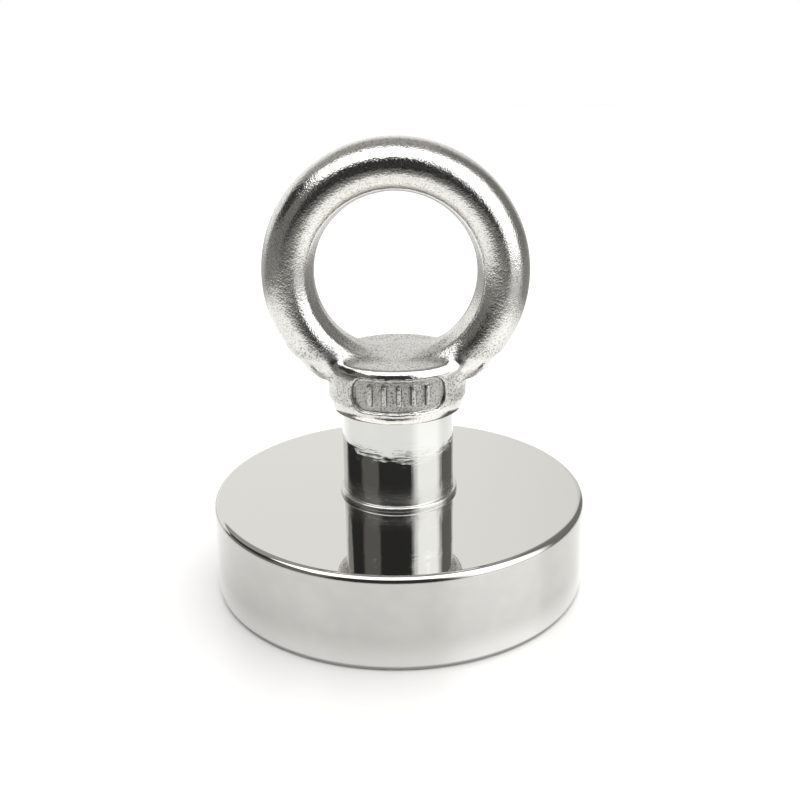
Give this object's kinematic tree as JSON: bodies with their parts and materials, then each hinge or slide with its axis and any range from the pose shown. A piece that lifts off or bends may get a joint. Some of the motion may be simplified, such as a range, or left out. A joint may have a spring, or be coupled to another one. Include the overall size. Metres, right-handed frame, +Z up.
{
  "type": "magnet fishing magnet",
  "caption": "Round pot magnet with a central threaded bush and a screw-in lifting eyebolt, for retrieving steel objects from water on a rope.",
  "frame": {"origin": "middle of the magnetic face, on the surface that the magnet stands on", "axes": "+Z up along the thread axis to the top of the ring, the ring stands in the XZ plane and its eye opens along Y, the marking pad faces -Y"},
  "size_m": [0.06, 0.06, 0.0715],
  "materials": {
    "pot_plating": "mirror-bright nickel plating on turned steel",
    "magnet_plating": "nickel-copper-nickel plating on sintered neodymium magnet, satin",
    "resin": "cured black epoxy potting resin",
    "bush_plating": "mirror-bright nickel plating on turned steel, faint turning lines",
    "eyebolt_steel": "tumbled and polished stainless steel forging, satin on the collar"
  },
  "bodies": {
    "magnet_body": {"pot_shell": "pot_plating", "magnet_disc": "magnet_plating", "potting_resin": "resin", "threaded_bush": "bush_plating"},
    "eyebolt": {"eyebolt": "eyebolt_steel"}
  },
  "joints": [
    {"name": "eyebolt_turn", "type": "hinge", "parent": "magnet_body", "child": "eyebolt", "pos_m": [0, 0, 0.03], "axis": [0, 0, 1], "range_deg": [0, 3720]}
  ]
}
